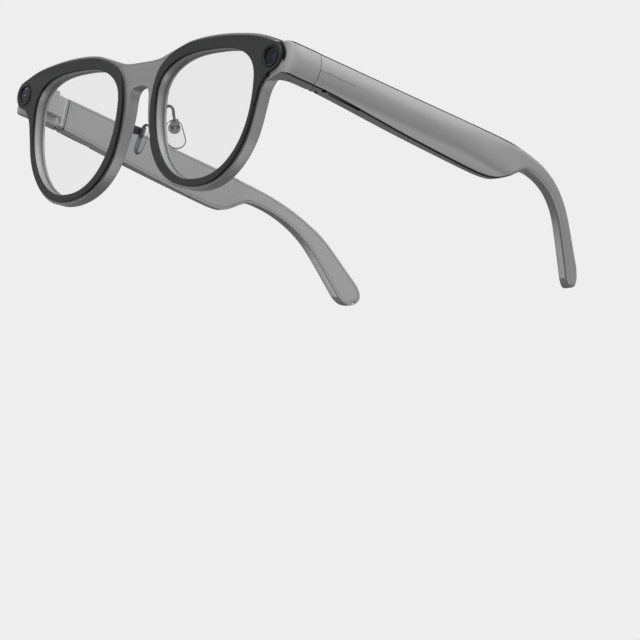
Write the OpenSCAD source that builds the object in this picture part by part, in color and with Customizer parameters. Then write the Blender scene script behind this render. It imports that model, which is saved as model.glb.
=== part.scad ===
// Smart glasses: a front frame, two folding temples and two nose pads that rock.
// Frame: +X is the wearer's left, the front faces -Y, +Z is up. Millimetres.
// Every piece is drawn in the wearer's frame and then laid down by placed(), so that the
// rims and the tips of the temples stand on Z = 0, as an open pair stands on a table.

/* [Front] */
// Distance from the middle of the bridge to the middle of each lobe
lobe_u = 66; // [65:0.5:67]
// Forward lean of the front, in degrees
front_tilt = 7.9; // [6:0.1:10]
// Radius of the front's wrap, seen from above
wrap_r = 1250; // [1000:10:1400]
// Thickness of the dark front plates
plate_t = 1.1; // [0.8:0.1:1.4]
// Thickness of the frame behind the plates
frame_t = 4.6; // [4.4:0.1:5]
// Width of the ledge of frame that shows round each plate
ledge = 0.9; // [0.6:0.1:1.1]
// Depth of the lens groove beyond the opening's wall
groove_d = 0.7; // [0.5:0.1:0.9]

/* [Temple] */
// Outward splay of each open temple, in degrees
splay = 2.5; // [2:0.1:3]
// Distance of a temple's working plane from the middle, at the front
temple_x = 69.1; // [68.9:0.1:69.5]
// Radius of the temple's convex outer face
face_r = 12; // [11.5:0.1:13]
// Height of the temple's straight top edge above the lobe
top_z = 5.5; // [5.2:0.1:5.8]
// Radius of the hook's inward bend, seen from above
bend_r = 97; // [92:1:105]
// Thickness of the ear hook
hook_t = 4.4; // [4.2:0.1:4.8]
// Wall thickness of the temple shell
wall = 0.9; // [0.8:0.1:1]

/* [Hinge] */
// Radius of the hinge barrels
barrel_r = 1.75; // [1.7:0.05:1.8]
// Radius of the hinge pin
pin_r = 0.7; // [0.6:0.05:0.8]
// Running clearance round the hinge pin and the pad screw
run_gap = 0.05; // [0.03:0.01:0.08]

/* [Nose pads] */
// Height of a nose pad
pad_h = 11.2; // [10.5:0.1:13]
// Width of a nose pad
pad_w = 6.6; // [6.2:0.1:7.5]
// Radius of the pad arm's wire
wire_r = 0.5; // [0.4:0.05:0.6]

/* [Hidden] */
$fn = 96;

// ---- Outlines of the front, in (u, v): u outwards from the bridge, v up from the lobe ----
// Lens opening: an oval about its widest line, measured from there out, up and down
lens_c = [34.6, -9.5];
lens_half_w = 24.4;
lens_up = 14.3;
lens_down = 29.8;
// How square the oval's quarters are, where 2 is an ellipse: outer top, nose top and both lower ones
lens_outer_power = 2.8;
lens_nose_power = 2.4;
lens_low_power = 2.2;
lens_points = 72;
// Outer edge of the front plate below and above the lobe, anticlockwise
plate_knots_inner = [
    [69, 3.7], [60, 6.7], [50, 8.2], [40, 8.9], [30, 8.7], [22, 7.5], [15.5, 4.9], [11, 1.2],
    [8.6, -4], [7.7, -12], [8.7, -21], [11.2, -28.5], [16.5, -35.3], [24.5, -40], [34.5, -41.8],
    [43, -40.6], [50, -36.6], [55, -31], [58.3, -24.5], [60.3, -16.5], [61.9, -10.5], [65, -6.1]
];
lobe_v = -0.5;
lobe_r = 5;
// Bridge: its top line, and the nose arch down to the rim's nose side
bridge_top = [[0, 4.2], [8, 4.4], [13.7, 5.8], [20, 7.6], [26, 8.6], [34, 9.1]];
bridge_arch = [
    [10.5, -27.5], [8, -22.5], [6.2, -17], [5.4, -12], [5.1, -8], [4.2, -5.2], [2.2, -4.2], [0, -4]
];
// Middle line of the flat cable's channel along the brow
cable_knots = [
    [64.6, 1.4], [56, 5.9], [48, 7.0], [40, 7.3], [30, 7.1], [22, 5.9], [15, 3.8], [8, 2.1], [0, 1.6]
];
// Depths behind the plates' faces: the lens groove and the cable's channel
groove_from = 2.9;
groove_to = 4.7;
lens_play = 0.1;
cable_from = 2.2;
cable_to = 2.8;
// Lobe: through hole for the camera or indicator, and the room behind it
lobe_bore_r = 3.8;
lobe_room_r = 3;

// ---- Temple dimensions, in the temple's frame: x outwards, y back, z up ----
inner_x = -3.2;      // inner face
bulge_x = 3.95;      // outermost line of the convex face
bulge_z = 0.2;       // its height
cover_t = 1;         // thickness of the inner cover
cover_y = 22.9;      // front end of the inner cover
pivot_x = -2.2;
pivot_y = 20.5;
relief_r = barrel_r + 0.25;
barrel_z = [-5.5, -3.4, 0.6, 5.0];
leaf_t = 0.9;        // thickness of a front hinge leaf
leaf_y = 9;          // front end of the front leaf
tab_y = 17.4;        // front end of its lower tab
hinge_screw_r = 0.6; // clearance hole of the hinge screws
front_screw_y = [11.2, 15.4];
leaf_screw_y = 26.4; // the temple leaf's screws, one above the other
leaf_screw_z = [-1.8, 1.8];
// Seam between end piece and temple: where it meets the edges, its slant in plan,
// its bulge at mid height, and how far in the bulge goes
seam_y = 15.7;
seam_bulge_x = -0.62;
seam_half_z = 6;
seam_slant = 37.7;
seam_bulge = 1.5;
seam_gap = 0.15;
// Side view (y, z): upper edge from the straight to the tip, and lower edge back to the seam
upper_edge = [
    [14, 0], [60, 0], [100, 0], [108, -0.1], [116, -0.4], [124, -1.4], [131.5, -3.3], [137, -5.4],
    [141.2, -7.5], [144.8, -9.6], [148, -12], [152, -15.6], [157, -20.4], [162.3, -25.4]
];
tip_c = [160, -24.1];
tip_r = 4.1;
lower_edge = [
    [156.3, -26.5], [152.5, -22], [148.8, -17.5], [145.6, -14], [141.8, -10], [137.5, -6.8],
    [132, -4], [126.5, -2.3], [121, -1.5], [116, -1.5], [112, -3.4], [108, -6.1], [103.5, -8.3], [98, -9.1],
    [90, -9.1], [75, -8.6], [60, -8], [47, -7.3], [34, -6.5], [24, -6], [14, -5.9]
];
// Plan view: the hook bends inwards on an arc and then runs straight
bend_y = 101.5;
bend_turn = 25;
tip_y = 168;

// ---- Nose pads ----
pad_at = [9, 13.9, -18];
pad_turn = [-13, -20, 55];
pad_axis = [0, -2.5, 2.2]; // screw axis, in the pad's frame

// Row frame: the rims' lowest edge and the temples' tips touch Z = 0
rim_low_v = -41.8 - ledge;
rim_low_d = plate_t + 0.5;
rim_low = [
    rim_low_d * cos(front_tilt) - rim_low_v * sin(front_tilt),
    rim_low_d * sin(front_tilt) + rim_low_v * cos(front_tilt)];
front_y = -0.4;      // foremost point of the plates
rest_pitch = atan2(tip_c[1] - rim_low[1], tip_c[0] - rim_low[0]) - asin(tip_r / norm(tip_c - rim_low));
rest_z = rim_low[0] * sin(rest_pitch) - rim_low[1] * cos(rest_pitch);
rest_y = -(front_y + tip_c[0] * cos(rest_pitch) + tip_c[1] * sin(rest_pitch) + tip_r) / 2;

// ---- Curves ----
function curve_point(a, b, c, d, t) =
    0.5 * ((2 * b) + (c - a) * t + (2 * a - 5 * b + 4 * c - d) * t * t
    + (3 * b - a - 3 * c + d) * t * t * t);
// Open smooth curve through the knots
function smooth_run(p, n) = let (m = len(p)) concat(
    [for (i = [0:m - 2]) for (k = [0:n - 1])
        curve_point(p[max(i - 1, 0)], p[i], p[i + 1], p[min(i + 2, m - 1)], k / n)],
    [p[m - 1]]);
function arc(c, r, from, to, n) =
    [for (k = [0:n]) let (t = from + (to - from) * k / n) c + r * [cos(t), sin(t)]];
function unit(v) = v / norm(v);
// Anticlockwise loop moved outwards by d along its normals
function grown(p, d) = let (m = len(p))
    [for (i = [0:m - 1]) let (t = unit(p[(i + 1) % m] - p[(i + m - 1) % m])) p[i] + d * [t[1], -t[0]]];
// Open run moved to its right by d
function moved(p, d) = let (m = len(p))
    [for (i = [0:m - 1]) let (t = unit(p[min(i + 1, m - 1)] - p[max(i - 1, 0)])) p[i] + d * [t[1], -t[0]]];
function flipped(p) = [for (q = p) [-q[0], q[1]]];
function reversed(p) = [for (i = [len(p) - 1:-1:0]) p[i]];
// Loop drawn for the wearer's left, as it is on one side
function on_side(p, side) = side > 0 ? p : reversed(flipped(p));

function lens_power(t) = t > 180 ? lens_low_power : t > 90 ? lens_nose_power : lens_outer_power;
function lens_radius(t) = let (n = lens_power(t), rise = t > 180 ? lens_down : lens_up)
    pow(pow(abs(cos(t)) / lens_half_w, n) + pow(abs(sin(t)) / rise, n), -1 / n);
lens_loop = [
    for (k = [0:lens_points - 1]) let (t = 360 * k / lens_points)
        lens_c + lens_radius(t) * [cos(t), sin(t)]
];
// The plate's outer edge is a smooth run from the lobe's top round the rim to the lobe's underside
plate_loop = concat(
    smooth_run(plate_knots_inner, 3),
    arc([lobe_u, lobe_v], lobe_r, -72, 40, 12));

// ---- Placing ----
module placed() { translate([0, rest_y, rest_z]) rotate([-rest_pitch, 0, 0]) children(); }
module tilted() { rotate([front_tilt, 0, 0]) children(); }
module left_temple_frame() { translate([temple_x, 0, 0]) rotate([0, 0, -splay]) children(); }
module sided(side) { if (side < 0) mirror([1, 0, 0]) children(); else children(); }
// Temple frame of one side, in the row frame
module temple_placed(side) { placed() sided(side) left_temple_frame() children(); }

// Layer of the curved front between two depths, both measured back from the plates' faces
module front_layer(near, far) {
    intersection() {
        rotate([90, 0, 0]) translate([0, 0, -16]) linear_extrude(18) children();
        translate([0, wrap_r, -60]) difference() {
            cylinder(r = wrap_r - near, h = 100, $fn = 720);
            translate([0, 0, -1]) cylinder(r = wrap_r - far, h = 102, $fn = 720);
        }
    }
}
// Frame of a lobe: its own +Z points out of the front, from the plate's face
module lobe_frame(side) {
    wrap = asin(lobe_u / wrap_r);
    sag = wrap_r * (1 - cos(wrap));
    tilted() translate([side * lobe_u, sag, lobe_v])
        rotate([0, 0, side * wrap]) rotate([90, 0, 0]) children();
}

// ---- Front frame ----
bridge_half = concat(smooth_run(bridge_top, 4), [[20, -25]], smooth_run(bridge_arch, 4));
module rim_outline() {
    for (s = [1, -1]) polygon(on_side(grown(plate_loop, ledge), s));
    polygon(concat(bridge_half, reversed(flipped(bridge_half))));
}
module lens_outline(grow) {
    for (s = [1, -1]) polygon(on_side(grown(lens_loop, grow), s));
}
module cable_band(half_w) {
    run = smooth_run(cable_knots, 4);
    side = concat(moved(run, half_w), reversed(moved(run, -half_w)));
    polygon(side);
    polygon(reversed(flipped(side)));
}
// Solid of the temple's section: flat inside, convex outside, in the temple frame
module face_barrel(inset) {
    translate([bulge_x - face_r, -5, bulge_z]) rotate([-90, 0, 0])
        cylinder(r = face_r - inset, h = 140, $fn = 180);
}
// End piece seen from above: rounded front corner, mitre at the seam, blended into the rim inside
module end_piece_plan() {
    polygon(concat(
        [[-10, 2.2], [1.2, 2.6]],
        arc([-0.8, 8.2], 5.4, -60, 0, 8),
        [[4.6, 9.5], [4.6, 20], [-0.4, 24], [-0.4, seam_at(-0.4)]],
        [[inner_x, seam_at(inner_x)], [inner_x, 13.5]],
        arc([inner_x - 5, 12.5], 5, 0, -75, 8),
        [[-10, 6.5]]));
}
function seam_at(x) = seam_y + (4 - x) * tan(seam_slant);
// Everything in front of the bulging seam
module seam_core(grow) {
    r = (pow(seam_half_z, 2) + pow(seam_bulge, 2)) / (2 * seam_bulge);
    translate([4, seam_y, 0]) rotate([0, 0, -seam_slant]) translate([-14, seam_bulge - r, 0])
        rotate([0, 90, 0]) cylinder(r = r + grow, h = 24, $fn = 240);
}
module front_frame() {
    color("silver") placed() {
        difference() {
            union() {
                tilted() front_layer(plate_t, plate_t + frame_t) rim_outline();
                for (s = [1, -1]) sided(s) left_temple_frame() end_piece();
            }
            tilted() front_layer(-3, plate_t) translate([-90, -60]) square([180, 100]);
            tilted() rotate([90, 0, 0]) translate([0, 0, -16]) linear_extrude(18) lens_outline(0);
            tilted() front_layer(groove_from, groove_to) lens_outline(groove_d + lens_play);
            tilted() front_layer(cable_from, cable_to) cable_band(0.8);
            for (s = [1, -1]) {
                lobe_frame(s) translate([0, 0, -3]) cylinder(r = lobe_bore_r, h = 4);
                lobe_frame(s) translate([0, 0, -6]) cylinder(r = lobe_room_r, h = 4);
            }
            for (s = [1, -1]) sided(s) left_temple_frame() hinge_pocket();
        }
    }
}
module end_piece() {
    intersection() {
        translate([0, 0, -6]) linear_extrude(top_z + 6) end_piece_plan();
        face_barrel(0);
        seam_core(0);
        along_x(-12, 6) polygon([
            [1.6, -5.2], [2.6, -5.8], [5, -6], [24, -6],
            [24, top_z], [6.5, top_z], [4.5, 5.2], [3, 4.6], [1.6, 3.4]]);
    }
}
// What the hinge takes out of the end piece: room for the barrels, the leaf and its screws
module hinge_pocket() {
    translate([pivot_x, pivot_y, -8]) cylinder(r = relief_r, h = 20);
    depth = leaf_t + 0.15;
    translate([inner_x - 1, leaf_y - 0.2, -3.45]) cube([1 + depth, 10.2, 6.5]);
    translate([inner_x - 1, tab_y - 0.1, barrel_z[0] - 0.1]) cube([1 + depth, 5, 5]);
    translate([inner_x - cover_d - 0.1, 8.5, -3.1]) cube([cover_d + 0.1, 9.8, 7.55]);
    translate([inner_x - cover_d - 0.1, 8.5, 4.4]) cube([cover_d + 0.1, 6.8, 1.5]);
    for (y = front_screw_y) translate([inner_x, y, 0]) cross_hole(hinge_screw_r, 4);
}
module cross_hole(r, length) { rotate([0, 90, 0]) cylinder(r = r, h = length); }

// ---- Front plates and lenses ----
module front_plate(side) {
    color(side > 0 ? "dimgray" : "gray") placed() difference() {
        tilted() front_layer(0, plate_t) difference() {
            polygon(on_side(plate_loop, side));
            polygon(on_side(lens_loop, side));
        }
        lobe_frame(side) translate([0, 0, -3]) cylinder(r = lobe_bore_r, h = 4);
    }
}
module left_front_plate() { front_plate(1); }
module right_front_plate() { front_plate(-1); }
module lens(side) {
    color([0.85, 0.9, 0.92, 0.4]) placed() tilted()
        front_layer(groove_from + lens_play, groove_to - lens_play)
            polygon(on_side(grown(lens_loop, groove_d), side));
}
module left_lens() { lens(1); }
module right_lens() { lens(-1); }

// ---- Camera, in the wearer's left lobe ----
module bezel(side) {
    r = lobe_bore_r - 0.05;
    color("dimgray") placed() lobe_frame(side) rotate_extrude()
        polygon([[2.9, -1.4], [r, -1.4], [r, 0.15], [3.6, 0.3], [3.3, 0.3], [2.9, -0.3]]);
}
module camera_bezel() { bezel(1); }
module camera_cover_glass() {
    color("black") placed() lobe_frame(1) translate([0, 0, -1]) cylinder(r = 2.85, h = 0.6);
}
module camera_lens_barrel() {
    color("black") placed() lobe_frame(1) rotate_extrude()
        polygon([
            [0, -4.4], [2.7, -4.4], [2.7, -3], [2.3, -3],
            [2.3, -1.1], [1.5, -1.1], [1, -1.6], [0, -1.45]]);
}
module camera_sensor_board() {
    color("darkgreen") placed() lobe_frame(1) translate([-2, -2, -5.4]) cube([4, 4, 0.9]);
}

// ---- Indicator light, in the wearer's right lobe ----
module indicator_bezel() { bezel(-1); }
module indicator_window() {
    color("black") placed() lobe_frame(-1) rotate_extrude()
        polygon([[0, -1.2], [2.85, -1.2], [2.85, -0.35], [2.2, -0.2], [0, -0.15]]);
}
module indicator_led_board() {
    color("white") placed() lobe_frame(-1) union() {
        translate([0, 0, -3.4]) cylinder(r = 2.6, h = 0.8);
        translate([-0.8, -0.8, -2.7]) cube([1.6, 1.6, 0.8]);
    }
}
module front_flex_cable() {
    color("orange") placed() tilted() intersection() {
        front_layer(cable_from + 0.2, cable_to - 0.2) cable_band(0.6);
        translate([-62, -5, -10]) cube([124, 20, 30]);
    }
}

// ---- Hinges ----
module barrel(from, to) { translate([pivot_x, pivot_y, from]) cylinder(r = barrel_r, h = to - from); }
module pin_bore() { translate([pivot_x, pivot_y, -9]) cylinder(r = pin_r + run_gap, h = 18); }
// Cover block over the front leaf, on the inner side of the end piece
cover_d = 2.2;
module hinge_cover(side) {
    color("lightgray") temple_placed(side) difference() {
        union() {
            translate([inner_x - cover_d, 8.6, -3]) cube([cover_d, 9.6, 7.4]);
            translate([inner_x - cover_d, 8.6, 4.4]) cube([cover_d, 6.6, 1.4]);
        }
        translate([inner_x - 0.9, leaf_y, -2.2]) cube([1, 8.6, 4.4]);
    }
}
module left_hinge_cover() { hinge_cover(1); }
module right_hinge_cover() { hinge_cover(-1); }
module front_hinge_leaf(side) {
    color("dimgray") temple_placed(side) difference() {
        union() {
            barrel(barrel_z[0], barrel_z[1]);
            barrel(barrel_z[2], barrel_z[3]);
            difference() {
                translate([inner_x + 0.1, leaf_y, -3.4]) cube([leaf_t, pivot_y - leaf_y, 6.4]);
                translate([pivot_x, pivot_y, barrel_z[1]])
                    cylinder(r = barrel_r + 0.1, h = barrel_z[2] - barrel_z[1]);
            }
            translate([inner_x + 0.1, tab_y, barrel_z[0]])
                cube([leaf_t, pivot_y - tab_y, barrel_z[1] - barrel_z[0]]);
        }
        pin_bore();
        for (y = front_screw_y) translate([inner_x - 1, y, 0]) cross_hole(hinge_screw_r, 4);
    }
}
module left_front_hinge_leaf() { front_hinge_leaf(1); }
module right_front_hinge_leaf() { front_hinge_leaf(-1); }
module hinge_pin(side) {
    low = barrel_z[0];
    high = barrel_z[3];
    color("gray") temple_placed(side) translate([pivot_x, pivot_y, 0]) rotate_extrude()
        polygon([
            [0, low - 0.4], [1.1, low - 0.4], [1.4, low - 0.2],
            [1.4, low], [pin_r, low], [pin_r, high], [0, high]]);
}
module left_hinge_pin() { hinge_pin(1); }
module right_hinge_pin() { hinge_pin(-1); }
// Screw along +X of the temple frame: head flush with x0
module leaf_screw(x0, y, z, length) {
    translate([x0, y, z]) rotate([0, 90, 0]) union() {
        cylinder(r = 1, h = 0.5);
        cylinder(r = 0.55, h = length);
    }
}
module front_hinge_screws() {
    color("gainsboro") for (s = [1, -1]) temple_placed(s)
        for (y = front_screw_y) leaf_screw(inner_x - 0.4, y, 0, 4);
}
module temple_hinge_leaf(side) {
    color("dimgray") temple_placed(side) difference() {
        union() {
            barrel(barrel_z[1] + 0.05, barrel_z[2] - 0.05);
            difference() {
                translate([pivot_x - 0.05, pivot_y, -3]) cube([0.85, 8.3, 6]);
                for (z = [[-4, barrel_z[1]], [barrel_z[2], 4]]) translate([pivot_x, pivot_y, z[0]])
                    cylinder(r = barrel_r + 0.3, h = z[1] - z[0]);
            }
        }
        pin_bore();
        for (z = leaf_screw_z) translate([pivot_x - 0.5, leaf_screw_y, z]) {
            cross_hole(hinge_screw_r, 4);
            cross_hole(1.05, 1);
        }
    }
}
module left_temple_hinge_leaf() { temple_hinge_leaf(1); }
module right_temple_hinge_leaf() { temple_hinge_leaf(-1); }
module temple_screws(side) {
    color("gainsboro") temple_placed(side) for (z = leaf_screw_z) difference() {
        leaf_screw(pivot_x - 0.05, leaf_screw_y, z, 4);
        translate([pivot_x - 1, leaf_screw_y - 0.2, z - 2]) cube([1.15, 0.4, 4]);
    }
}
module left_temple_screws() { temple_screws(1); }
module right_temple_screws() { temple_screws(-1); }

// ---- Nose pads ----
// Frame of a pad: +Y towards the nose, +Z up the pad, origin at the pad's middle
module left_pad_frame() { translate(pad_at) rotate(pad_turn) children(); }
module pad_placed(side) { placed() sided(side) left_pad_frame() children(); }
module screw_line(r, half) { translate(pad_axis + [-half, 0, 0]) cross_hole(r, 2 * half); }
module pad_outline(grow) {
    up = pad_h * 0.42;
    hull() {
        translate([0, pad_h / 2 - up * 0.62]) circle(r = up * 0.62 + grow, $fn = 40);
        translate([0, -pad_h / 2 + pad_w / 2]) circle(r = pad_w / 2 + grow, $fn = 40);
    }
}
module nose_pad(side) {
    color([0.93, 0.93, 0.95, 0.5]) pad_placed(side) difference() {
        translate([0, 1.2, 0]) rotate([90, 0, 0]) linear_extrude(2.2) pad_outline(0);
        pad_plate(0.03);
        translate([-0.65, -2, pad_axis[2] - 1.1]) cube([1.3, 2, 2.2]);
    }
}
module pad_plate(grow) {
    translate([0, -0.1 + grow, pad_axis[2]]) rotate([90, 0, 0]) cylinder(r = 2.1 + grow, h = 0.6 + 2 * grow);
}
module left_nose_pad() { nose_pad(1); }
module right_nose_pad() { nose_pad(-1); }
module nose_pad_insert(side) {
    color("gray") pad_placed(side) difference() {
        union() {
            pad_plate(0);
            translate([-0.6, pad_axis[1], pad_axis[2] - 1.05]) cube([1.2, -0.2 - pad_axis[1], 2.1]);
            screw_line(1.05, 0.6);
        }
        screw_line(0.35 + run_gap, 3);
    }
}
module left_nose_pad_insert() { nose_pad_insert(1); }
module right_nose_pad_insert() { nose_pad_insert(-1); }
module nose_pad_screws() {
    color("gainsboro") for (s = [1, -1]) pad_placed(s) union() {
        screw_line(0.35, 1.3);
        translate(pad_axis + [1.3, 0, 0]) rotate([0, 90, 0]) cylinder(r = 0.65, h = 0.4);
    }
}
// Wire from the rim's nose side, up and back to the pad box
arm_knots = [
    [7.4, 4.6, -12.4], [8.4, 6.8, -11], [10, 8, -9.9],
    [11, 9, -10.6], [11, 10.1, -12.8], [11.2, 10.8, -14.4]
];
function ring_at(c, d, r, n) = let (
    z = unit(d), x = unit(cross(z, [0.3, 0.2, 0.93])), y = cross(z, x))
    [for (k = [0:n - 1]) c + r * (cos(360 * k / n) * x + sin(360 * k / n) * y)];
module wire(path, r, sides) {
    m = len(path);
    rings = [for (i = [0:m - 1]) ring_at(path[i], path[min(i + 1, m - 1)] - path[max(i - 1, 0)], r, sides)];
    polyhedron(
        points = [for (g = rings) for (p = g) p],
        faces = concat(
            [[for (k = [0:sides - 1]) k]],
            [for (i = [0:m - 2]) for (k = [0:sides - 1])
                let (a = i * sides, b = a + sides, j = (k + 1) % sides)
                [a + k, b + k, b + j, a + j]],
            [[for (k = [sides - 1:-1:0]) (m - 1) * sides + k]]));
}
module nose_pad_arm(side) {
    color("gray") placed() sided(side) union() {
        wire(smooth_run(arm_knots, 4), wire_r, 10);
        left_pad_frame() difference() {
            translate([-1.3, pad_axis[1] - 1.85, pad_axis[2] - 1.3]) cube([2.6, 2.55, 2.6]);
            translate([-0.75, pad_axis[1] - 1.35, pad_axis[2] - 2]) cube([1.5, 3, 4]);
            screw_line(0.35, 3);
        }
    }
}
module left_nose_pad_arm() { nose_pad_arm(1); }
module right_nose_pad_arm() { nose_pad_arm(-1); }

// ---- Temples ----
function raised(p) = [for (q = p) [q[0], q[1] + top_z]];
tip_end = arc(tip_c, tip_r, 42, -130, 12);
// Whole side view of a temple, clockwise from the top of the seam
temple_side = concat(smooth_run(raised(upper_edge), 3), tip_end, smooth_run(lower_edge, 3));
// Middle line of the hook's thickness in plan, and its direction
function bend_angle(y) = y < bend_y ? 0 : min(asin(min((y - bend_y) / bend_r, 1)), bend_turn);
function bend_x(y) = let (a = bend_angle(y), y_arc = min(y, bend_y + bend_r * sin(bend_turn)))
    -bend_r * (1 - cos(a)) - max(y - y_arc, 0) * tan(bend_turn) * (y > bend_y ? 1 : 0);
// Points of the hook's plan, d outwards of its middle line
function hook_line(d) =
    [for (y = [116:4:tip_y]) let (a = bend_angle(y)) [bend_x(y) + d * cos(a), y + d * sin(a)]];
// Plan line of the inner face, moved d into the temple
function inner_line(d) = concat(
    [[inner_x + d, 10], [inner_x + d, 108], [inner_x + 0.1 + d, 112]],
    hook_line(d - hook_t / 2));
outer_knots = [
    [bulge_x + 0.4, 10], [bulge_x + 0.4, 60], [bulge_x + 0.1, 82], [3.6, 92], [2.9, 101], [2, 109]
];
outer_line = concat(smooth_run(outer_knots, 4), hook_line(hook_t / 2));

// Extrudes an outline given in (y, z) from x = from to x = to
module along_x(from, to) {
    translate([from, 0, 0]) rotate([90, 0, 90]) linear_extrude(to - from) children();
}
// Extrudes a plan, given in (x, y), through the whole height
module through_z() { translate([0, 0, -45]) linear_extrude(65) children(); }
// Plan layer between two depths behind the inner face
module inner_layer(from, to) { through_z() polygon(concat(inner_line(from), reversed(inner_line(to)))); }
module hook_layer(from, to) { through_z() polygon(concat(hook_line(from), reversed(hook_line(to)))); }
// Everything behind the mitre of the seam
module behind_seam(gap) {
    through_z() polygon([
        [8, seam_at(8) + gap], [inner_x - 1, seam_at(inner_x - 1) + gap], [-8, 24], [-40, 180], [8, 180]]);
}
module temple_solid() {
    difference() {
        intersection() {
            along_x(-36, 6) polygon(temple_side);
            through_z() polygon(concat(inner_line(0), reversed(outer_line)));
            union() {
                face_barrel(0);
                translate([-36, 110, -40]) cube([42, 60, 60]);
            }
            behind_seam(seam_gap);
        }
        intersection() {
            seam_core(seam_gap);
            translate([seam_bulge_x, 0, -20]) cube([10, 30, 40]);
        }
    }
}
// Side view less a border all round: the outline of the inner cover
module side_inset(d, front) {
    intersection() {
        polygon(grown(reversed(temple_side), -d));
        translate([front, -40]) square([150, 60]);
    }
}
cavity_y = [29, 108];
module temple_cavity() {
    intersection() {
        along_x(inner_x + cover_t - 0.01, bulge_x) intersection() {
            polygon(grown(reversed(temple_side), -1.7));
            translate([cavity_y[0], -12]) square([cavity_y[1] - cavity_y[0], 20]);
        }
        face_barrel(wall);
        through_z() polygon(concat(
            [[-8, 10]],
            [for (q = outer_line) q - [wall, 0]],
            [[-30, 168], [-30, 10]]));
    }
}
mic_y = 22.4;
mic_x = 1.7;
mic_r = 0.65;
slot_x = 0.9;
slot_w = 0.9;
slot_y = [25, 39];
slot_z = -6.1;
module temple_shell(side) {
    color("silver") temple_placed(side) difference() {
        temple_solid();
        // Recess for the inner cover, and the cavity under it
        intersection() {
            along_x(-36, 6) side_inset(0.9, cover_y - 0.1);
            inner_layer(-3, cover_t);
        }
        temple_cavity();
        // Channel for the hook's core
        core_channel(0.05);
        // Hinge leaf and its screws
        translate([pivot_x, pivot_y, -10]) cylinder(r = relief_r, h = 20);
        translate([inner_x + 0.9, 21.5, -3.2]) cube([1.05, 7.5, 6.4]);
        for (z = leaf_screw_z) translate([inner_x, leaf_screw_y, z]) cross_hole(0.55, 5.2);
        // Microphone port and speaker slot
        translate([mic_x, mic_y, -9]) cylinder(r = mic_r, h = 7);
        translate([-1.2, mic_y - 1.8, -3.2]) cube([3.4, 3.6, 1.4]);
        translate([slot_x, slot_y[0], -9]) cube([slot_w, slot_y[1] - slot_y[0], 5.2]);
        translate([-1.5, 29.1, -5.2]) cube([3.4, 13, 2]);
        if (side < 0) button_well();
        // Fine line along the outer face
        if (side > 0) translate([bulge_x - 0.25, 17.5, -0.55]) cube([1, 16.5, 0.25]);
    }
}
module left_temple_shell() { temple_shell(1); }
module right_temple_shell() { temple_shell(-1); }
contact_y = [66, 72];
contact_z = -2;
contact_r = 1.2;
module temple_cover(side) {
    color("darkgray") temple_placed(side) difference() {
        intersection() {
            along_x(-36, 6) side_inset(1, cover_y);
            inner_layer(0, cover_t - 0.05);
        }
        if (side > 0) for (y = contact_y)
            translate([inner_x - 1, y, contact_z]) cross_hole(contact_r + 0.1, 4);
    }
}
module left_temple_cover() { temple_cover(1); }
module right_temple_cover() { temple_cover(-1); }
// Flat spring-steel core under the cover, along the middle of the hook
core_knots = [
    [112.5, 1.9], [120, 1.7], [127, 0.9], [134, -0.9],
    [140, -3.7], [145, -7.4], [150, -12.2], [154.5, -17.3]
];
module core_channel(gap) {
    run = smooth_run(core_knots, 2);
    half_w = 0.8 + gap;
    intersection() {
        along_x(-36, 6) polygon(concat(moved(run, half_w), reversed(moved(run, -half_w))));
        hook_layer(-1.2 - (gap > 0 ? 1 : 0), -0.2 + gap);
    }
}
module tip_core(side) { color("gainsboro") temple_placed(side) core_channel(0); }
module left_tip_core() { tip_core(1); }
module right_tip_core() { tip_core(-1); }

// ---- Electronics ----
module battery(side) {
    color("steelblue") temple_placed(side) union() {
        translate([-1.9, 78, -5.6]) cube([3.3, 23, 8.2]);
        translate([-1.5, 76.4, -4]) cube([1, 1.8, 5.4]);
    }
}
module left_battery() { battery(1); }
module right_battery() { battery(-1); }
module circuit_board(side) {
    color("darkgreen") temple_placed(side) union() {
        translate([-1.9, 44, -4.6]) cube([0.8, 31.5, 7.8]);
        translate([-1.15, 48, -3.6]) cube([1.1, 6, 6]);
        translate([-1.15, 57, -2.6]) cube([1, 5, 5]);
        translate([-1.15, 65, -3.8]) cube([1.3, 3, 5.6]);
    }
}
module left_circuit_board() { circuit_board(1); }
module right_circuit_board() { circuit_board(-1); }
module speaker(side) {
    color("dimgray") temple_placed(side) union() {
        translate([-1.9, 29.6, -3.1]) cube([3.5, 12.4, 5.8]);
        translate([-1.4, 31, -4.4]) cube([2.2, 9.6, 1.4]);
    }
}
module left_speaker() { speaker(1); }
module right_speaker() { speaker(-1); }
module speaker_mesh(side) {
    color("black") temple_placed(side) translate([slot_x + 0.05, slot_y[0] + 0.1, slot_z])
        cube([slot_w - 0.1, slot_y[1] - slot_y[0] - 0.2, 0.4]);
}
module left_speaker_mesh() { speaker_mesh(1); }
module right_speaker_mesh() { speaker_mesh(-1); }
module microphone(side) {
    color("gold") temple_placed(side) translate([-0.3, mic_y - 1.7, -3.1]) cube([2.4, 3.4, 1.2]);
}
module left_microphone() { microphone(1); }
module right_microphone() { microphone(-1); }
// Touch film behind the plain outer face
module left_touch_sensor() {
    color("goldenrod") temple_placed(1) intersection() {
        translate([1, 44, -3]) cube([3, 30, 6]);
        difference() {
            face_barrel(wall + 0.05);
            face_barrel(wall + 0.25);
        }
    }
}
module left_charging_contacts() {
    color("gold") temple_placed(1) for (y = contact_y)
        translate([inner_x, y, contact_z]) cross_hole(contact_r, 1.2);
}
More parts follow.
